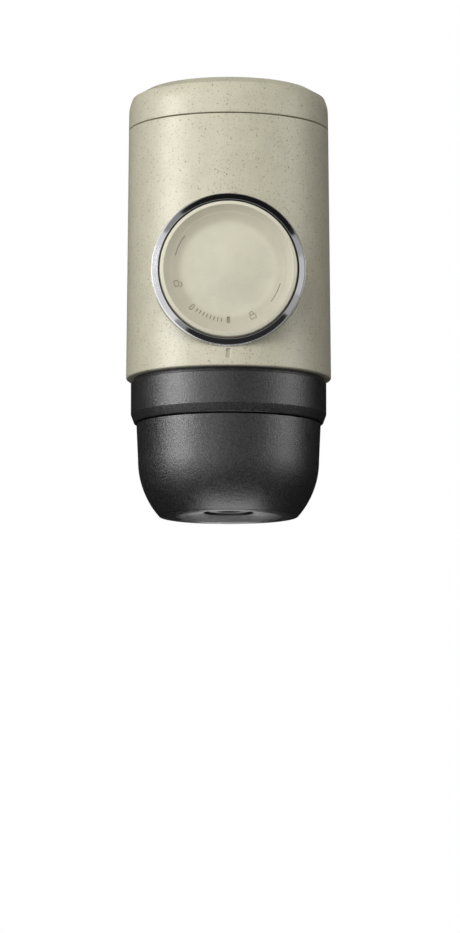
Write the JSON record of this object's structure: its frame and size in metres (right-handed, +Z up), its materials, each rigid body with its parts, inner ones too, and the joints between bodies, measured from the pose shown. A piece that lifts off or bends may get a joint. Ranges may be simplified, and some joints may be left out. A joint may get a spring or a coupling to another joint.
{
  "type": "handheld manual espresso maker",
  "caption": "Handheld espresso maker for capsules: round push-knob piston pump in a cream cylinder, screw-on water tank above, screw-on black outlet head below.",
  "frame": {"origin": "centre of the outlet head's flat foot", "axes": "+Z up through the tank, the push knob faces -Y, +X to the right as the knob is seen"},
  "size_m": [0.0618, 0.0642, 0.1296],
  "materials": {
    "cream_shell": "satin, fine brown speckle",
    "cream_face": "satin, plain",
    "black_body": "fine matt grain",
    "inner_black": "moulded",
    "tank_smoke": "moulded",
    "bezel_chrome": "polished",
    "steel": "turned",
    "rubber_grey": "soft",
    "barrel_white": "moulded"
  },
  "bodies": {
    "main_body": {"body_shell": "cream_shell", "pump_bezel": "bezel_chrome", "neck_collar": "black_body", "chassis": "inner_black", "pump_barrel": "barrel_white", "rod_bushing": "barrel_white", "lock_ring": "inner_black", "pump_head": "inner_black", "inlet_valve": "rubber_grey", "outlet_valve": "rubber_grey", "suction_tube": "steel", "brew_tube": "steel", "piercing_plate": "steel", "brew_seal": "rubber_grey", "chassis_screws": "steel", "pump_head_screws": "steel", "piston_spring": "steel"},
    "piston": {"piston_rod": "steel", "plunger": "barrel_white", "piston_seal": "rubber_grey", "knob_screw": "steel"},
    "knob": {"knob_shell": "cream_shell", "knob_face": "cream_face"},
    "tank_gasket": {"tank_seal": "rubber_grey"},
    "tank": {"water_tank": "tank_smoke", "tank_cap": "cream_shell"},
    "capsule_seat": {"capsule_holder": "inner_black"},
    "head": {"head_shell": "black_body", "extraction_plate": "steel", "outlet_spout": "inner_black", "head_seal": "rubber_grey"}
  },
  "joints": [
    {"name": "pump_stroke", "type": "slide", "parent": "main_body", "child": "piston", "axis": [0, -1, 0], "range_m": [0, 0.018], "deforming": ["piston_spring"]},
    {"name": "knob_turn", "type": "hinge", "parent": "piston", "child": "knob", "pos_m": [0, 0, 0.0702], "axis": [0, -1, 0], "range_deg": [0, 45]},
    {"name": "tank_turn", "type": "hinge", "parent": "main_body", "child": "tank_gasket", "pos_m": [0, 0, 0.1], "axis": [0, 0, 1], "range_deg": [0, 450]},
    {"name": "tank_lift", "type": "slide", "parent": "tank_gasket", "child": "tank", "axis": [0, 0, 1], "range_m": [0, 0.0075]},
    {"name": "head_drop", "type": "slide", "parent": "main_body", "child": "capsule_seat", "axis": [0, 0, -1], "range_m": [0, 0.01]},
    {"name": "head_turn", "type": "hinge", "parent": "capsule_seat", "child": "head", "pos_m": [0, 0, 0.02], "axis": [0, 0, -1], "range_deg": [0, 450]}
  ],
  "couplings": [
    {"joint": "tank_lift", "follows": "tank_turn", "m_per_rad": 0.00095492},
    {"joint": "head_drop", "follows": "head_turn", "m_per_rad": 0.0012732}
  ]
}
